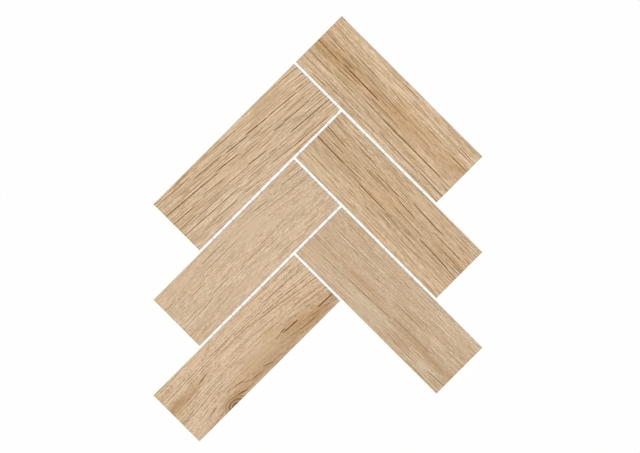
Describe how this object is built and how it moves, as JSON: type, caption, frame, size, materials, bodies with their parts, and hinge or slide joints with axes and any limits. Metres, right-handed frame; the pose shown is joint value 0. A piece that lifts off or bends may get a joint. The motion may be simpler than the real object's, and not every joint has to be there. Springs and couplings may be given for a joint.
{
  "type": "herringbone mosaic tile",
  "caption": "Mesh-mounted mosaic sheet of wood-look porcelain chips in a herringbone layout, for tiling floors and walls.",
  "frame": {"origin": "middle of the sheet's outline, on the underside of the backing mesh", "axes": "+Z out of the tiled face, +Y towards the tip of the chevrons, +X to the right seen on the face"},
  "size_m": [0.2532, 0.3274, 0.01],
  "materials": {
    "oak_look_porcelain": "matte",
    "glass_fibre_mesh": "matte"
  },
  "bodies": {
    "root": {"chip_right_1": "oak_look_porcelain", "chip_left_1": "oak_look_porcelain", "chip_right_2": "oak_look_porcelain", "chip_left_2": "oak_look_porcelain", "chip_right_3": "oak_look_porcelain", "chip_left_3": "oak_look_porcelain", "backing_mesh": "glass_fibre_mesh"}
  },
  "joints": []
}
